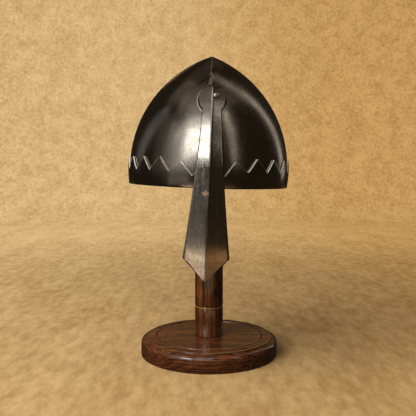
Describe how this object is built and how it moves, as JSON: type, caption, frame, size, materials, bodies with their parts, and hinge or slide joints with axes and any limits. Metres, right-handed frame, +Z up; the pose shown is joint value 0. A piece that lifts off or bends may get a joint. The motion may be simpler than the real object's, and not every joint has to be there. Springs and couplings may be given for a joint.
{
  "type": "nasal helmet on wooden stand",
  "caption": "Pointed steel helmet with a front-to-back keel, a toothed brow band and a long riveted nasal, hung on a turned wooden stand with a brass ring.",
  "frame": {"origin": "centre of the stand's flat foot", "axes": "+Z up along the stand's post; the helmet's front, with the nasal, faces -Y; +X is to the right of someone who looks at that front"},
  "size_m": [0.2001, 0.2364, 0.37],
  "materials": {
    "skull_steel": "polished by hand, fine scratches, dark patina",
    "band_steel": "polished by hand, bright filed edges",
    "nasal_steel": "polished by hand, faint hammer marks",
    "rivet_steel": "polished dome",
    "base_wood": "dark red-brown stain, satin varnish",
    "post_wood": "dark red-brown stain, satin varnish",
    "head_wood": "dark red-brown stain, plain",
    "ring_brass": "polished"
  },
  "bodies": {
    "root": {"skull": "skull_steel", "brow_band": "band_steel", "nasal": "nasal_steel", "nasal_rivet": "rivet_steel", "stand_base": "base_wood", "post_lower": "post_wood", "post_ring": "ring_brass", "post_upper": "post_wood", "stand_head": "head_wood"}
  },
  "joints": []
}
